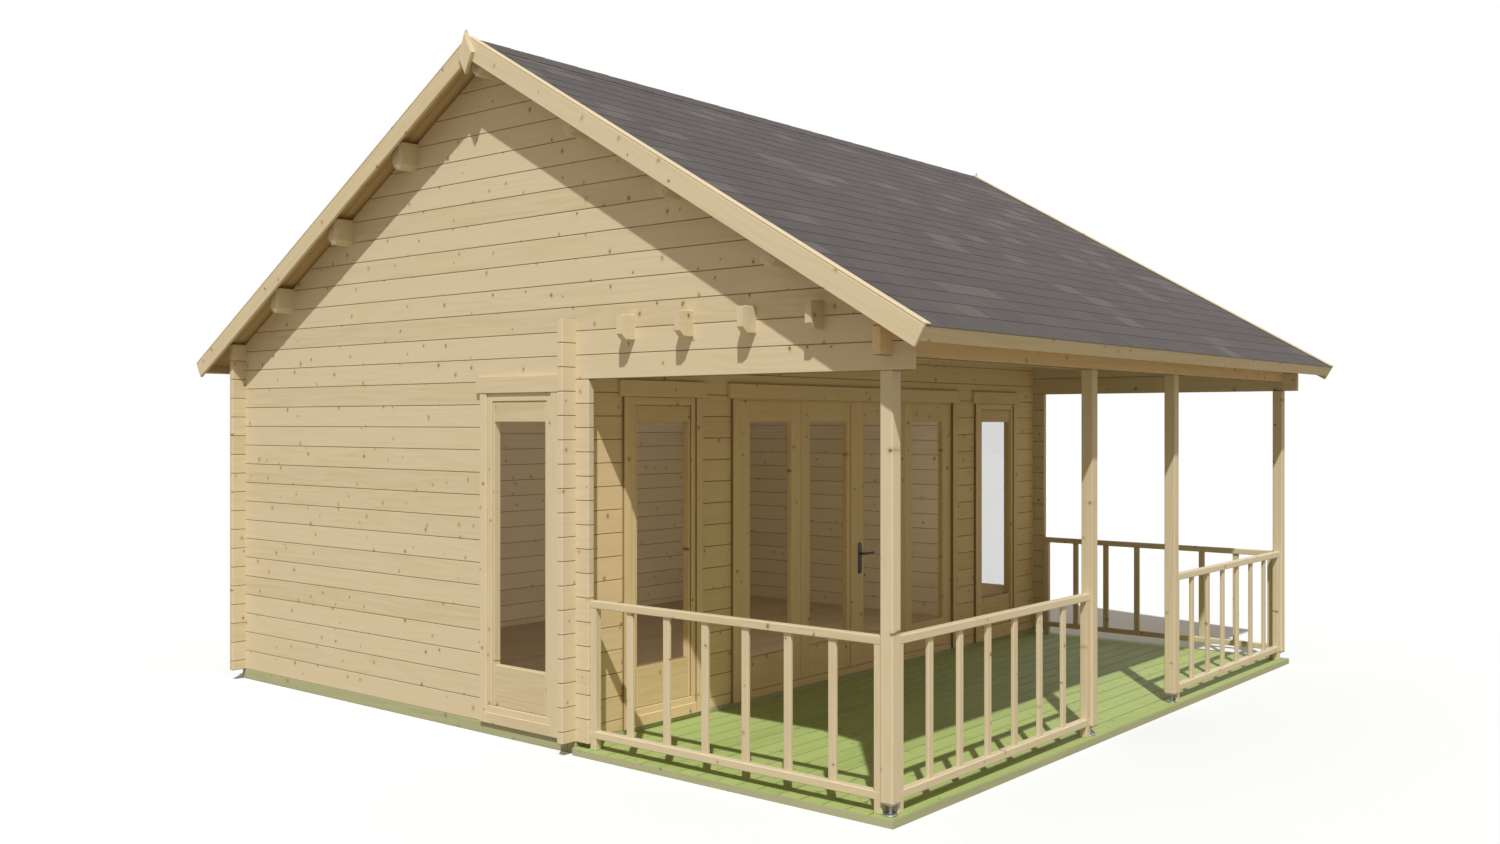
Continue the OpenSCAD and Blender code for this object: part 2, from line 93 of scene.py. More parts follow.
# shader maths
class Wire:
    # one socket of a node tree; arithmetic on it adds Math nodes
    def __init__(self, tree, socket=None):
        self.tree, self.socket = tree, socket

    def plug(self, socket, value):
        if isinstance(value, Wire):
            self.tree.links.new(value.socket, socket)
        else:
            socket.default_value = value

    def node(self, kind, settings=None, inputs=None, out=0):
        made = self.tree.nodes.new(kind)
        for key, value in (settings or {}).items():
            setattr(made, key, value)
        for key, value in (inputs or {}).items():
            self.plug(made.inputs[key], value)
        return Wire(self.tree, made.outputs[out])

    def math(self, operation, a, b):
        return self.node("ShaderNodeMath", {"operation": operation}, {0: a, 1: b})

    def __add__(self, other):
        return self.math("ADD", self, other)

    def __sub__(self, other):
        return self.math("SUBTRACT", self, other)

    def __rsub__(self, other):
        return self.math("SUBTRACT", other, self)

    def __mul__(self, other):
        return self.math("MULTIPLY", self, other)

    def __truediv__(self, other):
        return self.math("DIVIDE", self, other)

    def __gt__(self, other):
        return self.math("GREATER_THAN", self, other)

    __radd__, __rmul__ = __add__, __mul__

    def ease(self, start, end):
        # 0 before start, 1 after end, smooth between
        return self.node("ShaderNodeMapRange", {"interpolation_type": "SMOOTHSTEP"},
                         {"Value": self, "From Min": start, "From Max": end})

    def stretch(self, by):
        return self.node("ShaderNodeVectorMath", {"operation": "MULTIPLY"}, {0: self, 1: by})

    def noise(self, scale, detail=3.0, rough=0.5):
        return self.node("ShaderNodeTexNoise", {}, {"Vector": self, "Scale": scale, "Detail": detail,
                                                   "Roughness": rough})

    def blend(self, first, second):
        # self is the share of the second colour
        return self.node("ShaderNodeMix", {"data_type": "RGBA"}, {0: self, 6: first, 7: second}, 2)


def finish(name, build):
    # material whose build function fills the sockets of one Principled shader
    made = bpy.data.materials.new(name)
    made.use_nodes = True
    shader = made.node_tree.nodes["Principled BSDF"]
    build(Wire(made.node_tree), lambda key, value: Wire(made.node_tree).plug(shader.inputs[key], value))
    return made


grainLook = {
    "drift": (0.55, 5.0, 5.0),                         # slow waves along a board that bend the year lines
    "waver": (9, 9, 9), "bend": (0.035, 0.02, 0),      # how far the knots' outlines wander
    "streakNoise": (4.0, 0.62), "driftNoise": (2.0, 0.5), "streakMid": 0.47, "yearShare": 0.06,
    "knotRim": (0.5, 1.1), "haloRim": (0.5, 2.6), "haloShare": 0.4, "knotLeast": 0.25, "knotMore": 0.6,
    "gloss": 0.16, "bump": 0.35, "bumpDeep": 0.002, "streakHigh": 0.6, "yearHigh": 0.2, "knotDeep": 0.5,
}


def attribute(tree, name, out="Fac"):
    # a point attribute of the mesh
    return tree.node("ShaderNodeAttribute", {"attribute_name": name}, out=out)


def bumps(tree, strength, distance, height):
    # surface direction bent by a height
    return tree.node("ShaderNodeBump", {}, {"Strength": strength, "Distance": distance, "Height": height})


def woodFinish(name, look):
    # streaks and year lines stretched along the grain, round knots in some cells, painted shade in the seams
    g = grainLook

    def build(tree, put):
        grain = attribute(tree, "grain", "Vector")
        streak = grain.stretch(look["streak"]).noise(1.0, *g["streakNoise"])
        drift = grain.stretch(g["drift"]).noise(1.0, *g["driftNoise"])
        year = tree.math("SINE", drift * look["years"], 0.0)
        cells = {"voronoi_dimensions": "2D"}
        bent = grain.node("ShaderNodeVectorMath", {"operation": "MULTIPLY_ADD"},
                          {0: grain.stretch(g["waver"]).noise(1.0, 2.0), 1: g["bend"], 2: grain})
        knotSpace = bent.stretch((look["knots"], look["knots"] * look["knotTall"], 1))
        near = tree.node("ShaderNodeTexVoronoi", cells, {"Vector": knotSpace, "Scale": 1.0}, "Distance")
        pick = tree.node("ShaderNodeTexVoronoi", cells, {"Vector": knotSpace, "Scale": 1.0}, "Color")
        chance = tree.node("ShaderNodeSeparateColor", {}, {0: pick}, "Red")
        depth = tree.node("ShaderNodeSeparateColor", {}, {0: pick}, "Green")
        size = chance * look["knotSize"]
        has = chance > look["knotShare"]
        knot = (1 - (near / size).ease(*g["knotRim"])) * has
        halo = (1 - (near / size).ease(*g["haloRim"])) * has
        share = attribute(tree, "tone") * look["toneShare"] + year * g["yearShare"]
        share = share + (streak - g["streakMid"]) * look["streakShare"]
        colour = share.ease(0.0, 1.0).blend(look["pale"], look["deep"])
        colour = (halo * g["haloShare"]).blend(colour, look["warm"])
        colour = (knot * (depth * g["knotMore"] + g["knotLeast"])).blend(colour, look["knot"])
        # painted shade: the gap colour laid over the points that the seam shade attribute marks
        colour = (attribute(tree, "seam") * look["seam"]).blend(colour, look["gap"])
        put("Base Color", colour)
        put("Roughness", streak * g["gloss"] + look["rough"])
        height = streak * g["streakHigh"] + year * g["yearHigh"] - knot * g["knotDeep"]
        put("Normal", bumps(tree, g["bump"], g["bumpDeep"], height))
    return finish(name, build)


# the gap colour is painted shade for the seams between boards, laid at the share that follows it
spruceLook = {
    "pale": srgb(219, 205, 174), "deep": srgb(198, 180, 140), "warm": srgb(184, 150, 98),
    "knot": srgb(108, 78, 46), "gap": srgb(104, 76, 42), "seam": 0.9, "rough": 0.6,
    "years": 60.0, "knots": 6.2, "knotTall": 0.8, "knotSize": 0.066, "knotShare": 0.42, "toneShare": 0.35,
    "streak": (1.4, 44, 44), "streakShare": 0.8,
}
# painted warm shade: a warmer, more saturated copy of the spruce for the pieces in shade under the veranda's
# roof
warmShadeLook = dict(spruceLook, pale=srgb(234, 209, 163), deep=srgb(214, 185, 131))  # under the veranda's roof
roofWoodLook = dict(spruceLook, pale=srgb(204, 178, 128), deep=srgb(178, 148, 98))
floorWoodLook = dict(spruceLook, pale=srgb(190, 172, 142), deep=srgb(160, 140, 108), warm=srgb(140, 116, 84))
# its gap colour is painted shade for the seams between the deck boards
treatedLook = dict(spruceLook, pale=srgb(165, 181, 112), deep=srgb(124, 152, 78), warm=srgb(116, 132, 70),
                   knot=srgb(84, 88, 50), gap=srgb(48, 62, 26), rough=0.45, seam=0.85)
beamLook = dict(treatedLook, pale=srgb(180, 181, 144), deep=srgb(154, 160, 116), rough=0.62)
railLook = dict(spruceLook, rough=0.38)  # smoother planed rails

spruce = woodFinish("spruce", spruceLook)
# the painted warm shade copy of the spruce
warmShadeSpruce = woodFinish("warmShadeSpruce", warmShadeLook)
railSpruce = woodFinish("railSpruce", railLook)
roofWood = woodFinish("roofWood", roofWoodLook)
floorWood = woodFinish("floorWood", floorWoodLook)
treatedWood = woodFinish("treatedWood", treatedLook)
treatedBeam = woodFinish("treatedBeam", beamLook)

# edge is the colour of the painted shade on marked tab edges
shingleLook = {
    "dark": srgb(68, 63, 63), "light": srgb(95, 91, 90), "rust": srgb(82, 72, 69), "edge": srgb(36, 33, 32),
    "grit": 420.0, "cloud": 7.0, "toneShare": 0.85, "gritShare": 0.3, "cloudShare": 0.25, "shift": 0.3,
    "rustFrom": (0.52, 0.7), "rustShare": 0.5, "edgeShadeShare": 0.8,
    "rough": 0.92, "gloss": 0.1, "bump": 0.5, "bumpDeep": 0.0015,
}


def shingleBuild(tree, put):
    # tab tones with a few rusty ones, mineral grit, and painted shade on marked edges, though no tab is
    # marked
    look = shingleLook
    grain = attribute(tree, "grain", "Vector")
    grit = grain.noise(look["grit"], 2.0, 0.6)
    cloud = grain.noise(look["cloud"], 3.0, 0.5)
    share = attribute(tree, "tone") * look["toneShare"] + grit * look["gritShare"]
    share = share + cloud * look["cloudShare"] - look["shift"]
    colour = share.ease(0.0, 1.0).blend(look["dark"], look["light"])
    colour = (cloud.ease(*look["rustFrom"]) * look["rustShare"]).blend(colour, look["rust"])
    put("Base Color", (attribute(tree, "seam") * look["edgeShadeShare"]).blend(colour, look["edge"]))
    put("Roughness", look["rough"] - grit * look["gloss"])
    put("Normal", bumps(tree, look["bump"], look["bumpDeep"], grit))


shingle = finish("shingle", shingleBuild)

glassLook = {"colour": (0.06, 0.06, 0.06, 1), "alpha": 0.1, "rough": 0.03, "smear": 3.0, "gloss": 0.03}


def glassBuild(tree, put):
    # clear pane: a dark film that lets most light through, with faint smears in its gloss
    smear = tree.node("ShaderNodeTexCoord", out="Object").noise(glassLook["smear"], 2.0)
    put("Base Color", glassLook["colour"])
    put("Alpha", glassLook["alpha"])
    put("Roughness", smear * glassLook["gloss"] + glassLook["rough"])


glass = finish("glass", glassBuild)

zincLook = {
    "pale": srgb(196, 198, 200), "dull": srgb(150, 152, 155), "spots": (160, 160, 160),
    "rough": 0.32, "gloss": 0.2, "metal": 0.9,
}
steelLook = {
    "pale": srgb(92, 95, 97), "dull": srgb(66, 68, 70), "spots": (300, 300, 12),
    "rough": 0.38, "gloss": 0.15, "metal": 0.8,
}
spotRim = (0.3, 0.7)  # shares of the spots' noise between which the two greys blend


def metalFinish(name, look):
    # two greys in spots, even for the zinc layer's spangle and drawn out upright for brushed steel
    def build(tree, put):
        spot = tree.node("ShaderNodeTexCoord", out="Object").stretch(look["spots"]).noise(1.0, 2.0)
        put("Base Color", spot.ease(*spotRim).blend(look["dull"], look["pale"]))
        put("Roughness", spot * look["gloss"] + look["rough"])
        put("Metallic", look["metal"])
    return finish(name, build)


zinc = metalFinish("zinc", zincLook)
steel = metalFinish("steel", steelLook)
print("finishes made:", len(bpy.data.materials))


# boards
grainSpread = 40.0  # metres over which the boards' grain is scattered
planed = 0.003      # bevel on the edges of a plain board


# a board's seam shade is the share of painted shade on its long sides
def board(rows, start, along, wide, thick, size, low=planed, high=planed, end=planed, nose=0.0,
          cut=(0.0, 0.0), seam=0.0, tone=None):
    # one board: its start corner, the directions of its length, width and thickness, and their sizes
    along, wide, thick = (np.asarray(a, float) for a in (along, wide, thick))
    start = np.asarray(start, float)
    if np.dot(np.cross(along, wide), thick) < 0:  # keep the section turning the right way
        start, thick = start + thick * size[2], -thick
    rows.append((start, along, wide, thick, size, low, high, end, nose, cut[0], cut[1], seam,
                 dice.random() if tone is None else tone))


def block(rows, first, last, along, wide, **more):
    # board between two corners, with the axis numbers of its length and its width
    first, last = np.asarray(first, float), np.asarray(last, float)
    axes, thick = np.eye(3), 3 - along - wide
    size = (last - first)[[along, wide, thick]]
    board(rows, first, axes[along], axes[wide], axes[thick], size, **more)


def makeMesh(name, points, faces, attributes, finishUsed, smooth=False):
    # mesh object from arrays of points and quads, with its point attributes
    mesh = bpy.data.meshes.new(name)
    mesh.from_pydata(points.reshape(-1, 3), [], faces)
    for key, values in attributes.items():
        kind = "FLOAT_VECTOR" if values.ndim == 2 else "FLOAT"
        layer = mesh.attributes.new(key, kind, "POINT")
        layer.data.foreach_set("vector" if values.ndim == 2 else "value", values.astype(np.float32).ravel())
    mesh.polygons.foreach_set("use_smooth", np.full(len(mesh.polygons), smooth))
    mesh.materials.append(finishUsed)
    made = bpy.data.objects.new(name, mesh)
    bpy.context.scene.collection.objects.link(made)
    return made


def tubeFaces(rings, n, first=0):
    # quads between rings of n points each, counted from a first point
    i, j = np.meshgrid(np.arange(rings - 1), np.arange(n), indexing="ij")
    turn = (j + 1) % n
    return first + np.stack([i * n + j, i * n + turn, (i + 1) * n + turn, (i + 1) * n + j], -1).reshape(-1, 4)


def settle(made, slotName, *nodes):
    # the piece rides on the house and stands for its nodes
    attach(made, "root")
    if nodes:
        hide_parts(*nodes)
    print(made.name, len(made.data.polygons), "faces")
    return made


def boards(name, rows, finishUsed, slotName, *nodes):
    # each board is an eight-sided section, a rectangle with cut corners, carried over four rings along
    # its length; the end rings are drawn in by the end bevel, the lower side of the nose rises, and the
    # cuts lean the ends
    start, along, wide, thick, size, low, high, end, nose, cut0, cut1, seam, tone = (
        np.array(column, float) for column in zip(*rows))
    count, rings, sides = len(rows), 4, 8
    length, width, depth = size.T
    zero = np.zeros(count)
    v = np.stack([low, width - high, width, width, width - high, low, zero, zero], 1)
    w = np.stack([zero, zero, high, depth - high, depth, depth, depth - low, low], 1)
    lift = np.maximum(end, nose)
    vEnd = lift[:, None] + v * ((width - lift - end) / width)[:, None]
    wEnd = end[:, None] + w * ((depth - 2 * end) / depth)[:, None]
    v = np.stack([vEnd, v, v, vEnd], 1)
    w = np.stack([wEnd, w, w, wEnd], 1)
    u = np.stack([zero, lift, length - lift, length], 1)[:, :, None] + np.zeros((1, 1, sides))
    u[:, :2] += cut0[:, None, None] * v[:, :2]
    u[:, 2:] += cut1[:, None, None] * v[:, 2:]
    points = start[:, None, None] + sum(
        a[..., None] * b[:, None, None] for a, b in ((u, along), (v, wide), (w, thick)))
    shift = np.stack([dice.random(count) * grainSpread for axis in range(3)], 1)
    grain = np.stack([u, v, w], -1) + shift[:, None, None]
    # the long sides and their bevels take the painted seam shade, the end rings none
    edge = np.zeros((rings, sides))
    edge[1:3, [2, 3, 6, 7]] = 1
    cap = np.array([[0, 1, 6, 7], [1, 2, 5, 6], [2, 3, 4, 5]])
    faces = np.concatenate([tubeFaces(rings, sides), cap[:, ::-1], cap + (rings - 1) * sides])
    faces = (np.arange(count)[:, None, None] * edge.size + faces).reshape(-1, 4)
    attributes = {
        "grain": grain.reshape(-1, 3),
        "tone": np.repeat(tone, edge.size),
        "seam": (seam[:, None, None] * edge).ravel(),
    }
    return settle(makeMesh(name, points, faces, attributes, finishUsed), slotName, *nodes)


# log walls
logs = {
    "groove": 0.004,       # bevel on the long edges, half of the line between two logs
    "endBevel": 0.004,
    "roofGap": 0.042,      # level gap between the sloping gable logs and the roof boards
    "apexGap": 0.05, "topLeast": 0.01,       # the last gable log's gap under the ridge and its least height
    "eaveGap": 0.004, "innerGap": 0.02,      # gaps over the walls along the ridge
    "slack": 0.01,         # play where heights and lengths are compared
    "least": 0.02, "most": 40,               # the thinnest course, and how many courses there can be
    # painted light and shade: the sunlit log ends past the gables take the palest tone, the eave beam under
    # the eave board the deepest
    "litEndTone": 0.0, "shadeBeamTone": 1.0,         # pale log ends in the sun, a deeper eave beam
}
# the log grooves take full painted seam shade
logStyle = dict(low=logs["groove"], high=logs["groove"], end=logs["endBevel"], seam=1.0)

window = {
    "width": 0.686, "casing": 0.06, "casingOut": 0.02, "lap": 0.03, "gableGap": 0.086, "verandaY": 1.998,
    "headHigh": 0.097, "headUnder": 0.022, "gableRise": 0.021, "headPast": 0.032, "headOut": 0.024,
    "frameHead": 0.048, "foot": 0.067, "frameFoot": 0.04,
    "jambIn": 0.043, "jambOut": 0.010, "sashOut": 0.005, "sashIn": 0.001, "glassLow": 0.35, "glassDrop": 0.17,
    "glassSide": 0.12, "sashTone": 1.3, "sashGap": 0.002, "sashUnder": 0.0015, "headEdge": 0.0006,
    "fillLeast": 0.005,
}
door = {
    "leaf": 0.64, "leafThick": 0.04, "gap": 0.003, "stile": 0.101, "topRail": 0.142, "panel": 0.214,
    "casing": 0.073, "reveal": 0.019, "lap": 0.025, "casingOut": 0.022, "sill": 0.046, "head": 0.027,
    "strip": 0.062, "stripOut": 0.012, "stripBevel": 0.005, "sillOut": 0.008, "play": 0.003, "railIn": 0.002,
}
seat = 0.001       # how far casings and strips sink into what carries them
casingUp = 0.002   # gap under the casings
openingHalf = window["width"] / 2 - window["lap"]
gableWindowX = roomX - window["gableGap"] - window["width"] / 2
doorHalf = 2 * door["leaf"]
doorOuter = doorHalf + door["reveal"] + door["casing"]
doorOpening = doorOuter - door["lap"]


def gableReach(z):
    # half length of a gable log at a height: to the log ends, or to the roof
    return min(halfW + logEnd, (apexZ - z) / slope - logs["roofGap"])


def gableLogs():
    # courses of one log height from the base to the ridge: split beside the window, whole over it, and
    # with leaning ends under the roof
    rows = []
    left, right = gableWindowX - openingHalf, gableWindowX + openingHalf
    last = apexZ - logs["apexGap"]
    for y0 in (-halfL, innerL):
        y1 = y0 + logT
        z0 = baseZ
        while z0 < last - logs["topLeast"]:
            z1 = min(z0 + logH, last)
            if z1 < lintelZ + logs["slack"]:
                spans = [(-halfW - logEnd, left, z0), (right, wallX + logEnd, z0)]
                if z1 > headZ + logs["slack"]:
                    spans.append((left, right, headZ))
                for x0, x1, low in spans:
                    block(rows, (x0, y0, low), (x1, y1, z1), 0, 2, **logStyle)
            else:
                reach = gableReach(z0)
                lean = (reach - gableReach(z1)) / (z1 - z0)
                block(rows, (-reach, y0, z0), (reach, y1, z1), 0, 2, cut=(lean, -lean), **logStyle)
            z0 += logH
    nodes = [f"{side}_gable_{part}" for side in ("front", "rear") for part in ("wall", "pier", "top")]
    boards("gableLogs", rows, spruce, "spruce", "window_heads", *nodes)


def courses(low, high):
    # the walls along the ridge start with half a log, so that their courses cross the gables' ones
    z = [low] + [baseZ + (k + 0.5) * logH for k in range(logs["most"])] + [high]
    z = sorted(t for t in z if low <= t <= high)
    return [(a, b) for a, b in zip(z, z[1:]) if b - a > logs["least"]]


def sideWalls():
    # logs along the ridge from the base, or from the beam's foot, to the roof's underside less a gap; the
    # inner wall's ones are split at its openings and at the gables
    rows = []
    eaveZ = under(halfW) - logs["eaveGap"]
    for z0, z1 in courses(baseZ, eaveZ):
        block(rows, (-halfW, -endL, z0), (backX, endL, z1), 1, 2, **logStyle)
    boards("backWallLogs", rows, spruce, "spruce", "back_wall")
    rows, ends = [], []
    inner, outer = window["verandaY"] - openingHalf, window["verandaY"] + openingHalf
    for z0, z1 in courses(baseZ, under(roomX) - logs["innerGap"]):
        if z1 < headZ + logs["slack"]:
            spans = [(-endL, -outer), (-inner, -doorOpening), (doorOpening, inner), (outer, endL)]
        elif z1 < joistHigh[2] + logs["slack"]:
            spans = [(-endL, endL)]
        else:
            spans = [(-innerL, innerL)]
        for y0, y1 in spans:
            block(rows, (roomX, max(y0, -innerL), z0), (wallX, min(y1, innerL), z1), 1, 2, **logStyle)
            for a, b in ((y0, -innerL), (innerL, y1)):
                if b - a > logs["slack"]:
                    block(ends, (roomX, a, z0), (wallX, b, z1), 1, 2, tone=logs["litEndTone"], **logStyle)
    boards("innerWallLogs", rows, warmShadeSpruce, "spruce", "veranda_wall_piers", "veranda_wall_header")
    # the log ends past the gables stay out of the painted warm shade copy and take the palest tone: painted
    # light where the sun falls
    boards("innerWallEnds", ends, spruce, "spruce")
    rows = []
    for z0, z1 in courses(beamZ, eaveZ):
        # the eave beam takes the deepest tone: painted shade under the eave board
        block(rows, (halfW - logT, -endL, z0), (halfW, endL, z1), 1, 2, tone=logs["shadeBeamTone"], **logStyle)
    boards("eaveBeam", rows, warmShadeSpruce, "spruce", "eave_beam")


gableLogs()
sideWalls()

# beams
beams = {
    "width": 0.095, "height": 0.18, "chamfer": 0.03, "endBevel": 0.016, "places": (0.78, 1.482, 2.184),
    "joistFirst": 0.465, "joistStep": 0.421, "joistCount": 4, "joistNose": 0.03,
    "ridgeGap": 0.026, "purlinGap": 0.012,  # gaps under the roof boards
}


def roofBeams():
    # beams along the ridge: top at the roof's underside less a gap, foot a beam's height under it
    reach, half = corners("ridge_beam")[1][1], beams["width"] / 2
    for name, node, side, places, gap in (
            ("ridgeBeam", "ridge_beam", 1, (0.0,), beams["ridgeGap"]),
            ("backPurlins", "back_purlins", -1, beams["places"], beams["purlinGap"]),
            ("verandaPurlins", "veranda_purlins", 1, beams["places"], beams["purlinGap"])):
        rows = []
        for x in places:
            low = (side * x - half, -reach, under(x) - beams["height"])
            high = (side * x + half, reach, under(x) - gap)
            block(rows, low, high, 1, 2, low=beams["chamfer"], end=beams["endBevel"])
        boards(name, rows, spruce, "spruce", node)
    rows = []
    for i in range(beams["joistCount"]):
        x = wallX + beams["joistFirst"] + i * beams["joistStep"]
        block(rows, (x - logT, -endL, joistLow[2]), (x, endL, joistHigh[2]), 1, 2, nose=beams["joistNose"])
    boards("verandaJoists", rows, spruce, "spruce", "veranda_joists")


roofBeams()

# veranda
veranda = {
    "post": 0.07, "entrance": 1.13, "footHigh": 0.058, "railTop": 0.825, "lowRail": 0.062, "railHigh": 0.042,
    "railDeep": 0.045, "slat": 0.045, "slatThick": 0.02, "slatStep": 0.274, "postBevel": 0.004, "screw": 0.01,
    "railBevel": 0.004, "slatBevel": 0.003, "endBevel": 0.001, "uprightIn": 0.002,
    "screwRound": 0.35, "screwEdge": 0.0005,
}
postPlaces = [  # along the ridge, and the height of the top
    (-halfL, lintelZ), (-veranda["entrance"] / 2 - veranda["post"], beamZ),
    (veranda["entrance"] / 2, beamZ), (halfL - veranda["post"], lintelZ)]


def posts():
    # square posts from the feet's plates to the beam or the gable's lowest log
    rows = []
    bevel, wide = veranda["postBevel"], veranda["post"]
    for y, top in postPlaces:
        low, high = (halfW - wide, y, deckZ + veranda["footHigh"]), (halfW, y + wide, top)
        block(rows, low, high, 2, 0, low=bevel, high=bevel)
    boards("verandaPosts", rows, spruce, "spruce", "veranda_posts")


def railing(name, node, start, along, out):
    # two rails, slats between them and an upright at each end, from a start point along a direction
    low, high = corners(node)
    length = abs(np.dot(high - low, along))
    v = veranda
    bays = round(length / v["slatStep"])
    step = (length - v["slat"]) / bays
    top, lowZ = deckZ + v["railTop"], deckZ + v["lowRail"]
    topFoot, lowTop = top - v["railHigh"], lowZ + v["railHigh"]
    rows = []

    def bar(s0, s1, z0, z1, deep, up):
        corner = start + along * s0 - out * deep / 2 + axisZ * z0
        bevel, end = v["slatBevel"] if up else v["railBevel"], v["endBevel"]
        if up:
            board(rows, corner, axisZ, along, out, (z1 - z0, s1 - s0, deep), low=bevel, high=bevel, end=end)
        else:
            board(rows, corner, along, axisZ, out, (s1 - s0, z1 - z0, deep), low=bevel, high=bevel, end=end)

    bar(0, length, topFoot, top, v["railDeep"], False)
    bar(0, length, lowZ, lowTop, v["railDeep"], False)
    for i in range(1, bays):
        bar(i * step, i * step + v["slat"], lowTop, topFoot, v["slatThick"], True)
    for s in (0, length - v["slat"]):
        bar(s, s + v["slat"], deckZ, topFoot, v["railDeep"] - v["uprightIn"], True)
    boards(name, rows, railSpruce, "spruce", node)
    rows = []
    s = v["screw"] / 2
    bevel = v["screwRound"] * s
    for i in range(1, bays):  # a screw head under each slat
        mid = start + along * (i * step + v["slat"] / 2)
        first, last = mid + (-s, -s, lowZ - s), mid + (s, s, lowZ + seat)
        block(rows, first, last, 2, 0, low=bevel, high=bevel, end=v["screwEdge"])
    boards(name + "Screws", rows, zinc, "zinc")


posts()
midPost = veranda["post"] / 2
for name, node, end in (("frontRailing", "front_railing", -1), ("rearRailing", "rear_railing", 1)):
    railing(name, node, np.array([corners(node)[0][0], end * (halfL - midPost), 0]), axisX, axisY)
for name, node in (("frontBayRailing", "front_bay_railing"), ("rearBayRailing", "rear_bay_railing")):
    railing(name, node, np.array([halfW - midPost, corners(node)[0][1], 0]), axisY, axisX)

foot = {
    "disc": ((0, 0), (0, 0.034), (0.004, 0.034), (0.006, 0.031), (0.0061, 0.008)),         # heights and radii
    "nut": ((0.0401, 0.008), (0.0401, 0.016), (0.051, 0.016), (0.052, 0.014), (0.052, 0)),
    "threaded": (0.0065, 0.04), "points": 40, "rod": 0.008, "thread": 0.0012, "pitch": 0.004,
    "sides": 32, "plate": 0.006, "plateBevel": 0.001,
}


def postFeet():
    # turned foot: a radius that is a function of height, for a disc, a threaded rod whose radius is a sine
    # of the height, and a nut, carried round a circle
    n = foot["sides"]
    rodZ = np.linspace(*foot["threaded"], foot["points"])
    rodR = foot["rod"] + foot["thread"] * np.sin(rodZ / foot["pitch"] * 2 * np.pi)
    z, r = np.concatenate([foot["disc"], np.stack([rodZ, rodR], 1), foot["nut"]]).T[:, :, None]
    angle = np.linspace(0, 2 * np.pi, n, endpoint=False)
    ringPoints = np.stack([r * np.cos(angle), r * np.sin(angle), z + 0 * angle], -1)
    faces = tubeFaces(len(z), n)
    centres = np.array([[halfW - midPost, y + midPost, deckZ] for y, top in postPlaces])
    points = (centres[:, None, None] + ringPoints).reshape(-1, 3)
    faces = (np.arange(len(centres))[:, None, None] * len(z) * n + faces).reshape(-1, 4)
    made = makeMesh("screwFeet", points, faces, {}, zinc, True)
    settle(made, "zinc", "post_feet")
    rows = []
    z1, wide, bevel = deckZ + veranda["footHigh"], veranda["post"], foot["plateBevel"]
    for y, top in postPlaces:
        low, high = (halfW - wide, y, z1 - foot["plate"]), (halfW, y + wide, z1)
        block(rows, low, high, 0, 1, end=bevel, low=bevel, high=bevel)
    boards("footPlates", rows, zinc, "zinc")


postFeet()

deck = {
    "boards": 16, "gap": 0.004, "ribs": 9, "ribPoints": 6, "ribDeep": 0.0025, "flat": 0.04, "round": 0.003,
    "drop": 0.004, "grainStep": 3.7, "edge": 0.004, "edgeUnder": 0.002, "edgeBevel": 0.001,
}


def deckBoards():
    # fluted boards: a section with a waved top, height less a rib depth times a cosine, carried along
    # the ridge, and plain boards round the deck's edge
    count, ribs = deck["boards"], deck["ribs"]
    pitchX = (deckHigh[0] - deckLow[0] + deck["gap"]) / count
    width = pitchX - deck["gap"]
    s = np.linspace(0, 1, ribs * deck["ribPoints"] + 1)
    fluted = (s > deck["flat"]) * (s < 1 - deck["flat"])
    top = deckZ - deck["ribDeep"] * (0.5 - 0.5 * np.cos(2 * np.pi * ribs * s)) * fluted
    x = np.concatenate([[0], s * (width - 2 * deck["round"]) + deck["round"], [width, width, 0]])
    edgeZ = deckZ - deck["drop"]
    z = np.concatenate([[edgeZ], top, [edgeZ, deckLow[2], deckLow[2]]])
    n = len(x)
    y = np.array([deckLow[1], deckHigh[1]])
    starts = deckLow[0] + np.arange(count) * pitchX
    points = np.zeros((count, 2, n, 3))
    points[..., 0] = starts[:, None, None] + x
    points[..., 1] = y[None, :, None]
    points[..., 2] = z
    i = np.arange(n)
    each = np.arange(count)[:, None, None]
    around = np.stack([i, n + i, n + (i + 1) % n, (i + 1) % n], 1)
    faces = [tuple(f) for f in (each * 2 * n + around).reshape(-1, 4)]
    for b in range(count):  # closed ends
        faces.append(tuple(b * 2 * n + i))
        faces.append(tuple(b * 2 * n + n + i[::-1]))
    run = points[..., 1] + dice.random((count, 1, 1)) * grainSpread
    across = x + each * deck["grainStep"] + np.zeros((1, 2, 1))
    grain = np.stack([run, across, points[..., 2]], -1).reshape(-1, 3)
    # the sides and underside of each deck board take full painted seam shade
    seam = np.zeros((count, 2, n))
    seam[..., [0, n - 3, n - 2, n - 1]] = 1
    attributes = {"grain": grain, "tone": np.repeat(dice.random(count), 2 * n), "seam": seam.ravel()}
    settle(makeMesh("deckBoards", points, faces, attributes, treatedWood), "treated_wood", "veranda_deck")
    rows = []
    low, high = deckLow - deck["edge"], deckHigh + deck["edge"]
    top, bevel = deckZ - deck["edgeUnder"], deck["edgeBevel"]
    edgeStyle = dict(low=bevel, high=bevel, end=bevel)
    block(rows, (deckHigh[0], low[1], 0), (high[0], high[1], top), 1, 2, **edgeStyle)
    for y0, y1 in ((low[1], deckLow[1]), (deckHigh[1], high[1])):
        block(rows, (deckLow[0], y0, 0), (deckHigh[0], y1, top), 0, 2, **edgeStyle)
    boards("deckEdge", rows, treatedBeam, "treated_wood")


deckBoards()

base = {"beam": 0.07, "bearer": 0.07, "bearers": 7, "joint": 0.001}


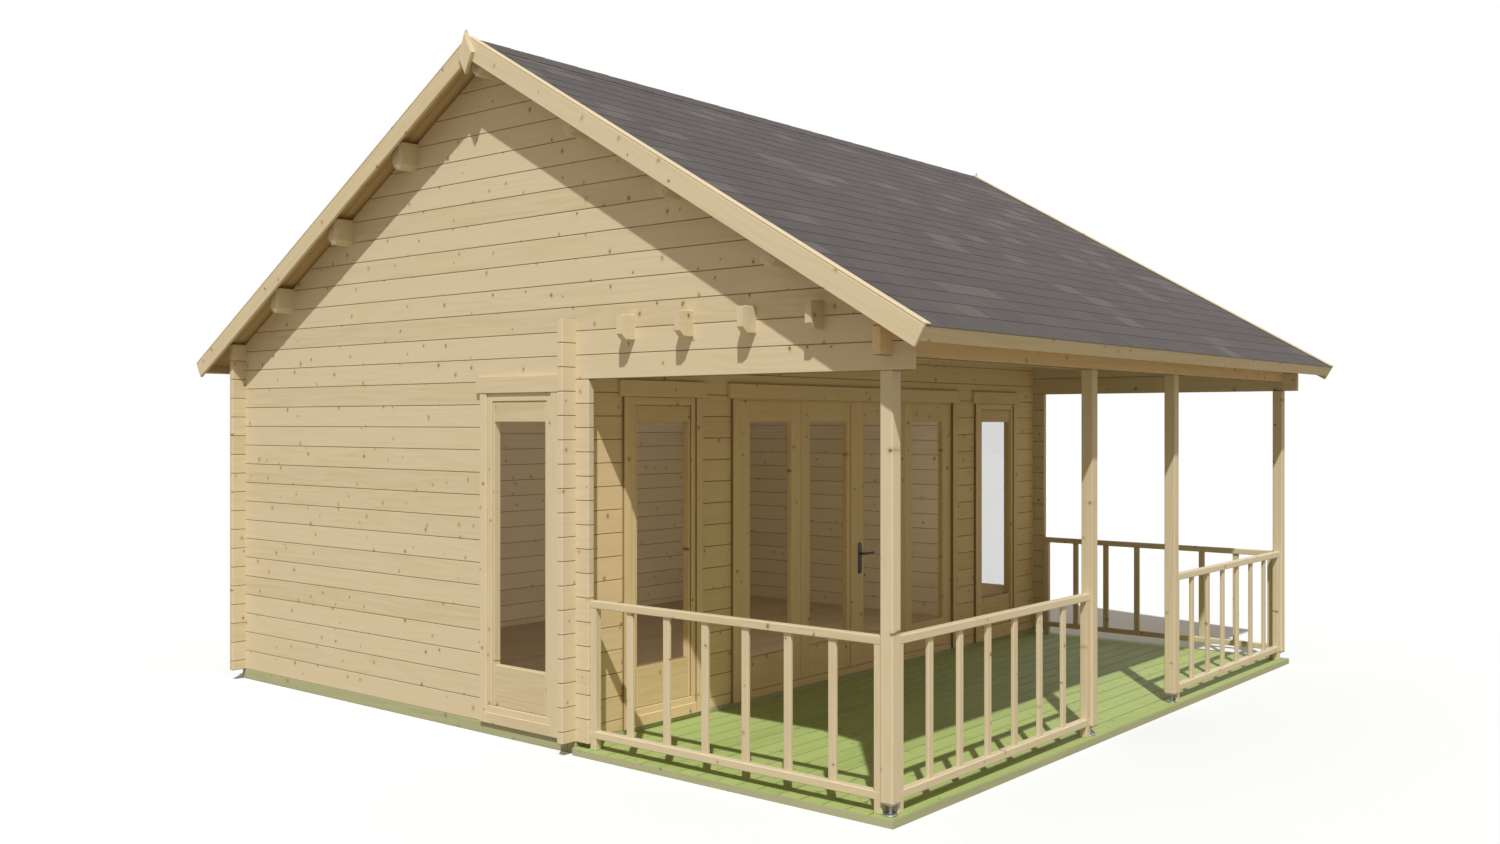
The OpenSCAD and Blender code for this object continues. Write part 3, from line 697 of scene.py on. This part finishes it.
def baseBeams():
    # beams under the walls, and bearers at even steps under the deck
    low, high = corners("base_beams")
    b, joint = base["beam"], base["joint"]
    rows = []
    for y in (-halfL, halfL - b):
        block(rows, (-halfW + b + joint, y, 0), (wallX - b - joint, y + b, baseZ), 0, 2)
    for x in (-halfW, wallX - b):
        block(rows, (x, -halfL, 0), (x + b, halfL, baseZ), 1, 2)
    for y in np.linspace(low[1], high[1] - base["bearer"], base["bearers"]):
        block(rows, (wallX + joint, y, 0), (high[0], y + base["bearer"], deckLow[2]), 0, 1)
    boards("baseBeams", rows, treatedBeam, "treated_wood", "base_beams")


baseBeams()

# floor boards take painted shade in their seams
flooring = {"board": 0.12, "bevel": 0.002, "seam": 0.7}


def roomFloor():
    # the floor's width shared among whole boards along the ridge
    low, high = corners("room_floor")
    count = round((high[0] - low[0]) / flooring["board"])
    edges = np.linspace(low[0], high[0], count + 1)
    style = dict(low=flooring["bevel"], high=flooring["bevel"], seam=flooring["seam"])
    rows = []
    for x0, x1 in zip(edges, edges[1:]):
        block(rows, (x0, low[1], low[2]), (x1, high[1], high[2]), 1, 0, **style)
    boards("floorBoards", rows, floorWood, "floor_wood", "room_floor")


roomFloor()

# roof
# the roof boards take painted shade in their seams at the board seam share
roof = {
    "boardThick": 0.019, "boardWide": 0.116, "boardSeamShade": 0.8, "boardBevel": 0.0035, "boardEnd": 0.001,
    "boardFrom": 0.001, "ridgeGap": 0.0005, "barge": 0.11, "bargeThick": 0.02,
    "capWide": 0.048, "capThick": 0.011, "fascia": 0.08, "fasciaThick": 0.018,
    "fasciaUnder": 2.2,  # gap over the eave boards, in shingle thicknesses
}
tabs = {
    "thick": 0.008, "step": 0.0018, "row": 0.145, "lap": 0.012, "drip": 0.024,
    "wide": (0.2, 0.36), "most": 60, "least": 0.02, "shift": 0.2, "bevel": 0.0004, "end": 0.0012,
    "tones": (0.2, 0.3, 0.4, 0.75), "toneShares": (0.3, 0.35, 0.24, 0.11), "toneSpread": 0.06,
    "ridgeWide": 0.16, "ridgePiece": 0.27, "ridgeLift": 1.6, "ridgeEnd": 0.001,
    "ridgeTone": 0.25, "ridgeSpread": 0.15,
}
roofT = roof["boardThick"] + tabs["thick"]
roofS = (boardHigh[0] - roof["boardThick"] * math.sin(pitch)) / math.cos(pitch)  # slope length of the boards


def onSlope(side, s, t, y):
    # point down one slope by s, square to it by t, at a place along the ridge
    p = np.array([0, y, apexZ]) + down * s + square * t
    return p * np.array([side, 1, 1])


def slopeBoard(rows, side, s0, s1, t0, t1, y0, y1, upright=False, plumb=False, tilt=0.0, **more):
    # board down a slope; upright ones stand on their edge, plumb ones are cut to the ridge's middle plane
    flip = np.array([side, 1, 1])
    run, up = down * flip, square * flip
    if plumb:
        s0 = -t0 * math.tan(pitch) + roof["ridgeGap"]
        more["cut"] = (-math.tan(pitch), 0.0)
    run = run + up * tilt
    size = (s1 - s0, t1 - t0, y1 - y0) if upright else (s1 - s0, y1 - y0, t1 - t0)
    wide, thick = (up, axisY) if upright else (axisY, up)
    board(rows, onSlope(side, s0, t0, y0), run, wide, thick, size, **more)


def roofBoards():
    # the ridge's length shared among whole boards that run down each slope
    edges = np.linspace(-roofY, roofY, round(2 * roofY / roof["boardWide"]) + 1)
    bevel = roof["boardBevel"]
    style = dict(seam=roof["boardSeamShade"], end=roof["boardEnd"], low=bevel, high=bevel)
    for name, node, side in (("backRoofBoards", "back_roof_boards", -1),
                             ("verandaRoofBoards", "veranda_roof_boards", 1)):
        rows = []
        for y0, y1 in zip(edges, edges[1:]):
            slopeBoard(rows, side, roof["boardFrom"], roofS, 0, roof["boardThick"], y0, y1, **style)
        boards(name, rows, roofWood, "roof_wood", node)


def shingles():
    # courses from the eave up, each a row of tabs of random width that leans by its own thickness over the
    # course below, and a strip of lapping pieces on the ridge
    thin, bevel = tabs["step"], tabs["bevel"]
    bed = roofT - 2 * thin
    count = math.ceil(roofS / tabs["row"])
    for name, node, side in (("backShingles", "back_shingles", -1),
                             ("verandaShingles", "veranda_shingles", 1)):
        rows = []
        for j in range(count):
            s1 = roofS - j * tabs["row"]
            s0 = max(s1 - tabs["row"] - tabs["lap"], 0.0)
            s1 += tabs["drip"] * (j == 0)  # the lowest course hangs over the eave board
            widths = dice.uniform(*tabs["wide"], tabs["most"])
            edges = np.concatenate([[0], np.cumsum(widths)]) - dice.uniform(0, tabs["shift"])
            edges = np.clip(edges - roofY, -roofY, roofY)
            for y0, y1 in zip(edges, edges[1:]):
                if y1 - y0 > tabs["least"]:
                    tone = float(dice.choice(tabs["tones"], p=tabs["toneShares"]))
                    tone += dice.uniform(-tabs["toneSpread"], tabs["toneSpread"])
                    slopeBoard(rows, side, s0, s1, bed, bed + thin, y0, y1, tilt=thin / (s1 - s0),
                               low=bevel, high=bevel, end=tabs["end"], tone=tone)
        boards(name, rows, shingle, "shingles", node)
    rows = []
    capLow, capHigh = corners("ridge_cap")
    edges = np.linspace(capLow[1], capHigh[1], round((capHigh[1] - capLow[1]) / tabs["ridgePiece"]) + 1)
    top = -roofT * math.tan(pitch)
    for side in (-1, 1):
        flip = np.array([side, 1, 1])
        for y0, y1 in zip(edges, edges[1:]):
            corner = onSlope(side, top, bed + tabs["ridgeLift"] * thin, y0)
            lean = axisY + square * flip * thin / (y1 - y0)  # each piece laps over the one before
            tone = tabs["ridgeTone"] + dice.uniform(0, tabs["ridgeSpread"])
            board(rows, corner, lean, down * flip, square * flip, (y1 - y0, tabs["ridgeWide"] - top, thin),
                  low=bevel, high=bevel, end=tabs["ridgeEnd"], tone=tone)
    boards("ridgeStrip", rows, shingle, "shingles", "ridge_cap")


def verges():
    # boards on edge down each slope, cut plumb at the ridge, strips on top of them, and boards at the eaves
    end = roofS + roof["fasciaThick"]
    bargeT, capW = roof["bargeThick"], roof["capWide"]
    onEdge = dict(upright=True, plumb=True)
    for name, node, y0 in (("frontBargeboards", "front_bargeboards", -vergeY),
                           ("rearBargeboards", "rear_bargeboards", vergeY - bargeT)):
        rows = []
        for side in (-1, 1):
            slopeBoard(rows, side, 0, end, roofT - roof["barge"], roofT, y0, y0 + bargeT, **onEdge)
        boards(name, rows, spruce, "spruce", node)
    rows = []
    for y0 in (-vergeY, vergeY - capW):
        for side in (-1, 1):
            slopeBoard(rows, side, 0, end, roofT, roofT + roof["capThick"], y0, y0 + capW, **onEdge)
    boards("vergeCaps", rows, spruce, "spruce", "verge_caps")
    rows = []
    size = (2 * roofY, roof["fascia"] - roof["fasciaUnder"] * tabs["step"], roof["fasciaThick"])
    for side in (-1, 1):
        flip = np.array([side, 1, 1])
        corner = onSlope(side, roofS, roofT - roof["fascia"], -roofY)
        board(rows, corner, axisY, square * flip, down * flip, size)
    boards("eaveFascias", rows, spruce, "spruce", "eave_fascias")


roofBoards()
shingles()
verges()

finial = {
    "points": 14, "hollow": 1.25, "shoulder": 0.54, "bevel": 0.004, "face": 0.9,
    "tone": 0.4, "grainFrom": 7.3,
}


def turnOut(made):
    # faces of a closed mesh point outwards
    work = bmesh.new()
    work.from_mesh(made.data)
    bmesh.ops.remove_doubles(work, verts=work.verts, dist=1e-6)
    bmesh.ops.recalc_face_normals(work, faces=work.faces)
    work.to_mesh(made.data)
    work.free()


def finials():
    # pointed board: half width eased from the tip to the shoulders in a hollow curve, then straight to the
    # lower point, carried through the thickness with a bevelled rim
    low, high = corners("finials")
    halfWide, tall = high[0], high[2] - low[2]
    shoulder = finial["shoulder"]
    t = np.linspace(0, 1, finial["points"])
    wide = np.concatenate([halfWide * t ** finial["hollow"], halfWide * (1 - t[1:])])
    drop = np.concatenate([shoulder * t, shoulder + (1 - shoulder) * t[1:]]) * tall
    x = np.concatenate([wide, -wide[-2:0:-1]])
    z = high[2] - np.concatenate([drop, drop[-2:0:-1]])
    middle = high[2] - shoulder * tall
    n, allPoints, faces = len(x), [], []
    i = np.arange(n)
    inset = np.array([finial["face"], 1.0, 1.0, finial["face"]])[:, None]
    rings = len(inset)
    for b, (face, back) in enumerate(((low[1], -vergeY), (high[1], vergeY))):
        depth = np.array([face, face - np.sign(back) * finial["bevel"], back, back])[:, None]
        ring = np.stack([inset * x, depth + 0 * x, middle + inset * (z - middle)], -1)
        allPoints.append(ring.reshape(-1, 3))
        first = b * rings * n
        faces += [tuple(f) for f in tubeFaces(rings, n, first)]
        faces += [tuple(first + i[::-1]), tuple(first + (rings - 1) * n + i)]
    points = np.concatenate(allPoints)
    attributes = {
        "grain": points[:, [2, 0, 1]] + finial["grainFrom"],
        "tone": np.full(len(points), finial["tone"]),
        "seam": np.zeros(len(points)),
    }
    made = makeMesh("finials", points, faces, attributes, spruce)
    turnOut(made)
    settle(made, "spruce", "finials")


finials()


# windows and door
def wallPart(rows, origin, right, out):
    # function that adds a board in a wall: across, depth behind the wall's face, height
    def part(x0, x1, d0, d1, z0, z1, upright, **more):
        corner = origin + right * x0 - out * d0 + axisZ * z0
        if upright:
            board(rows, corner, axisZ, right, -out, (z1 - z0, x1 - x0, d1 - d0), **more)
        else:
            board(rows, corner, right, axisZ, -out, (x1 - x0, z1 - z0, d1 - d0), **more)
    return part


def headBoard(part, half, low, shade):
    # board over an opening, wider than its casing by a set length on each side
    w = window
    # shade is the share of painted shade on its sides and edges
    part(-half - w["headPast"], half + w["headPast"], -w["headOut"], seat, low, low + w["headHigh"], False,
         seam=shade, high=w["headEdge"])


def windowBoards(rows, origin, right, out, rise, shade):
    # casing proud of the logs with a head board past it, the frame set back a little, and a sash with a
    # deep lower rail
    w = window
    part = wallPart(rows, origin, right, out)
    half, inner = w["width"] / 2, w["width"] / 2 - w["casing"]
    headLowZ = headZ - w["headUnder"] + rise
    frameTop = headLowZ - w["frameHead"]
    footTop = baseZ + w["foot"]
    frameLow = footTop + w["frameFoot"]
    sashLow, sashTop = frameLow + w["sashGap"], frameTop - w["sashGap"]
    casingLow, casingOut, jambOut = baseZ + casingUp, -w["casingOut"], -w["jambOut"]
    glassZ0, glassZ1 = baseZ + w["glassLow"], headZ - w["glassDrop"]
    glassX = half - w["glassSide"]
    sashX = inner - w["jambIn"]
    face, back = -w["sashOut"], logT - w["sashIn"]
    # shade is painted shade on the casing, jambs, frame head, head board and sash rails
    for s in (-1, 1):
        x0, x1 = sorted((s * half, s * inner))
        part(x0, x1, casingOut, seat, casingLow, headLowZ, True, seam=shade)
        x0, x1 = sorted((s * openingHalf, s * inner))
        part(x0, x1, seat, logT, baseZ, headLowZ, True)
        x0, x1 = sorted((s * inner, s * sashX))
        part(x0, x1, jambOut, logT, frameLow, headLowZ, True, seam=shade)
        x0, x1 = sorted((s * (sashX - w["sashUnder"]), s * glassX))
        part(x0, x1, face, back, sashLow, sashTop, True, tone=w["sashTone"])
    headBoard(part, half, headLowZ, shade)
    if headZ - headLowZ > w["fillLeast"]:
        part(-openingHalf, openingHalf, seat, logT, headLowZ, headZ, False)
    part(-sashX, sashX, jambOut, logT, frameTop, headLowZ, False, seam=shade)
    part(-inner, inner, casingOut, seat, casingLow, footTop, False)
    part(-inner, inner, seat, logT, baseZ, footTop, False)
    part(-inner, inner, jambOut, logT, footTop, frameLow, False)
    for z0, z1 in ((glassZ1, sashTop), (sashLow, glassZ0)):
        part(-glassX, glassX, face + seat, back, z0, z1, False, seam=shade, tone=w["sashTone"])


# painted shade on the sides and edges of casings, heads, jambs and sashes under the veranda's roof
casingShade = 0.85  # darker edges on the casings under the veranda's roof


def windows():
    # one in each gable, and two beside the door that share a node
    for name, node, end in (("frontWindow", "front_window_frame", -1),
                            ("rearWindow", "rear_window_frame", 1)):
        rows = []
        origin = np.array([gableWindowX, end * halfL, 0])
        windowBoards(rows, origin, axisX, axisY * end, window["gableRise"], 0.0)
        boards(name, rows, spruce, "spruce", node)
    rows = []
    for end in (-1, 1):
        origin = np.array([wallX, end * window["verandaY"], 0])
        windowBoards(rows, origin, axisY, axisX, 0.0, casingShade)
    boards("verandaWindows", rows, warmShadeSpruce, "spruce", "veranda_window_frames")


windows()


def doorPieces():
    # casing and frame round four equal leaves, each of two stiles, a top rail and a deep lower panel
    d = door
    origin, right, out = np.array([wallX, 0, 0]), axisY, axisX
    leafLow, leafTop = baseZ + d["sill"], headZ - d["head"]
    headLowZ = headZ - window["headUnder"]
    rows = []
    part = wallPart(rows, origin, right, out)
    for s in (-1, 1):
        # the casings and head board take painted shade on their sides
        x0, x1 = sorted((s * doorOuter, s * (doorHalf + d["reveal"])))
        part(x0, x1, -d["casingOut"], seat, baseZ + casingUp, headLowZ, True, seam=casingShade)
        x0, x1 = sorted((s * doorOpening, s * doorHalf))
        part(x0, x1, seat, logT, baseZ, headZ, True)
    headBoard(part, doorOuter, headLowZ, casingShade)
    part(-doorHalf, doorHalf, seat, logT, leafTop, headZ, False)
    part(-doorHalf, doorHalf, -d["sillOut"], logT, baseZ, leafLow, False)
    boards("doorFrame", rows, warmShadeSpruce, "spruce", "door_frame")
    names = ("leftOuterLeaf", "leftInnerLeaf", "rightInnerLeaf", "rightOuterLeaf")
    nodes = ("left_outer_leaf", "left_inner_leaf", "right_inner_leaf", "right_outer_leaf")
    face = (logT - d["leafThick"]) / 2
    back = face + d["leafThick"]
    bottom, top = leafLow + d["play"], leafTop - d["play"]
    for i, (name, node) in enumerate(zip(names, nodes)):
        rows = []
        part = wallPart(rows, origin, right, out)
        x0 = (i - 2) * d["leaf"] + d["gap"] / 2
        x1 = (i - 1) * d["leaf"] - d["gap"] / 2
        g0, g1 = x0 + d["stile"], x1 - d["stile"]
        for a, b in ((x0, g0), (g1, x1)):
            part(a, b, face, back, bottom, top, True)
        for z0, z1 in ((bottom, leafLow + d["panel"]), (leafTop - d["topRail"], top)):
            part(g0, g1, face + d["railIn"], back - d["railIn"], z0, z1, False)
        if i == 1:  # the strip over the gap between the two middle leaves
            part(x1 - d["strip"], x1, face - d["stripOut"], face + seat, bottom, top, True,
                 low=d["stripBevel"], high=d["stripBevel"])
        boards(name, rows, warmShadeSpruce, "spruce", node)


doorPieces()

handle = {
    "lever": 0.8, "under": 0.65, "plateHigh": 0.225, "plateWide": 0.038, "plateThick": 0.008,
    "plateRim": 0.002, "plateFace": 0.92, "length": 0.12, "out": 0.042, "bar": 0.008, "turn": 0.018,
    "turnPoints": 8, "tip": 0.004, "tipShare": 0.55, "sides": 40,
}


def doorHandle():
    # plate: a rounded outline carried through its thickness; lever: a circle carried along a bent path
    h, n = handle, handle["sides"]
    y = door["gap"] / 2 + door["stile"] / 2
    z = baseZ + door["sill"] + h["lever"]
    x = wallX - (logT - door["leafThick"]) / 2
    angle = np.linspace(0, 2 * np.pi, n, endpoint=False)
    cosine, sine = np.cos(angle), np.sin(angle)
    r = h["plateWide"] / 2
    midZ = z + (0.5 - h["under"]) * h["plateHigh"]
    across, up = r * cosine, r * sine + np.sign(sine) * (h["plateHigh"] / 2 - r)
    shrink = np.array([1, 1, h["plateFace"], 0])[:, None]
    depth = np.array([0, h["plateThick"] - h["plateRim"], h["plateThick"], h["plateThick"]])[:, None]
    plate = np.stack([x + depth + 0 * angle, y + shrink * across, midZ + shrink * up], -1)
    bend = np.linspace(0, np.pi / 2, h["turnPoints"])
    outX, endY, turn = x + h["out"], y + h["length"], h["turn"]
    curve = np.stack([outX - turn + turn * np.sin(bend), y + turn * (1 - np.cos(bend)), z + 0 * bend], -1)
    path = np.concatenate([[[x, y, z]], curve, [[outX, endY - h["tip"], z], [outX, endY, z]]])
    way = np.gradient(path, axis=0)
    way /= np.linalg.norm(way, axis=1)[:, None]
    side = np.cross(way, axisZ)
    thick = np.full(len(path), h["bar"])
    thick[-1] *= h["tipShare"]
    circle = cosine[None, :, None] * side[:, None] + sine[None, :, None] * axisZ
    lever = path[:, None] + thick[:, None, None] * circle
    rings = len(shrink)
    quads = np.concatenate([tubeFaces(rings, n), tubeFaces(len(path), n, rings * n)])
    faces = [tuple(f) for f in quads]
    faces.append(tuple((rings + len(path) - 1) * n + np.arange(n)))
    points = np.concatenate([plate.reshape(-1, 3), lever.reshape(-1, 3)])
    made = makeMesh("doorHandle", points, faces, {}, steel, True)
    turnOut(made)
    settle(made, "zinc", "door_handle")


doorHandle()

for node in ("window_glass", "door_glass"):
    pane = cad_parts[node]
    pane.data.materials.clear()
    pane.data.materials.append(glass)
print("house dressed")

# studio
studio = {
    "place": (6.249, -7.858, 1.8575), "turn": 39.70, "lens": 32.23, "sensor": 36.0, "far": 200,
    "sunAzimuth": 39.0, "sunHeight": 53.0, "sun": 3.2, "sunTint": (1.0, 0.99, 0.96), "sunWide": 1.0,
    "fill": 0.36, "fillTint": (1.0, 0.86, 0.66, 1), "floor": (0.34, 0.31, 0.25, 1),
    "floorSeen": (0.87, 0.915, 0.99, 1), "floorHalf": 60.0, "floorRough": 0.9,
    "roomLamp": (0.55, 0.0, 1.3), "roomSize": (1.8, 4.8), "roomPower": 28.0, "roomTint": (1.0, 0.94, 0.82),
}


def stageSet():
    # the photo's camera, a sun at an azimuth and a height, a soft lamp in the room, a sky that is white to
    # the eye and dimmer as light, and a wide floor
    scene = bpy.context.scene
    scene.view_settings.view_transform = "Standard"
    lens = bpy.data.cameras.new("photoView")
    lens.lens, lens.sensor_width, lens.sensor_fit = studio["lens"], studio["sensor"], "HORIZONTAL"
    lens.clip_end = studio["far"]
    camera = bpy.data.objects.new("photoView", lens)
    camera.location = studio["place"]
    camera.rotation_euler = (math.radians(90), 0, math.radians(studio["turn"]))
    scene.collection.objects.link(camera)
    scene.camera = camera
    lamp = bpy.data.lights.new("sun", "SUN")
    lamp.energy, lamp.color = studio["sun"], studio["sunTint"]
    lamp.angle = math.radians(studio["sunWide"])
    sun = bpy.data.objects.new("sun", lamp)
    sun.rotation_euler = (math.radians(90 - studio["sunHeight"]), 0, math.radians(studio["sunAzimuth"]))
    scene.collection.objects.link(sun)
    lamp = bpy.data.lights.new("roomLamp", "AREA")  # soft light on the room's back wall
    lamp.shape, (lamp.size, lamp.size_y) = "RECTANGLE", studio["roomSize"]
    lamp.energy, lamp.color = studio["roomPower"], studio["roomTint"]
    panel = bpy.data.objects.new("roomLamp", lamp)
    panel.location, panel.rotation_euler = studio["roomLamp"], (0, math.radians(90), 0)
    panel.visible_camera = panel.visible_glossy = panel.visible_transmission = False
    scene.collection.objects.link(panel)
    world = bpy.data.worlds.new("softSky")
    world.use_nodes = True
    scene.world = world
    tree = Wire(world.node_tree)
    seen = tree.node("ShaderNodeLightPath", out="Is Camera Ray")
    for ray in ("Is Glossy Ray", "Is Transmission Ray"):
        seen = seen.math("MAXIMUM", seen, tree.node("ShaderNodeLightPath", out=ray))
    back = world.node_tree.nodes["Background"]
    tree.plug(back.inputs["Color"], seen.blend(studio["fillTint"], white))
    tree.plug(back.inputs["Strength"], seen * (1 - studio["fill"]) + studio["fill"])
    grid = np.array([[-1, -1, 0], [1, -1, 0], [1, 1, 0], [-1, 1, 0]]) * studio["floorHalf"]

    def floorBuild(tree, put):
        # pale to the eye, duller to bounced light
        seen = tree.node("ShaderNodeLightPath", out="Is Camera Ray")
        put("Base Color", seen.blend(studio["floor"], studio["floorSeen"]))
        put("Roughness", studio["floorRough"])

    floor = makeMesh("studioFloor", grid, [(0, 1, 2, 3)], {}, finish("studioFloor", floorBuild))


stageSet()
print("studio set")
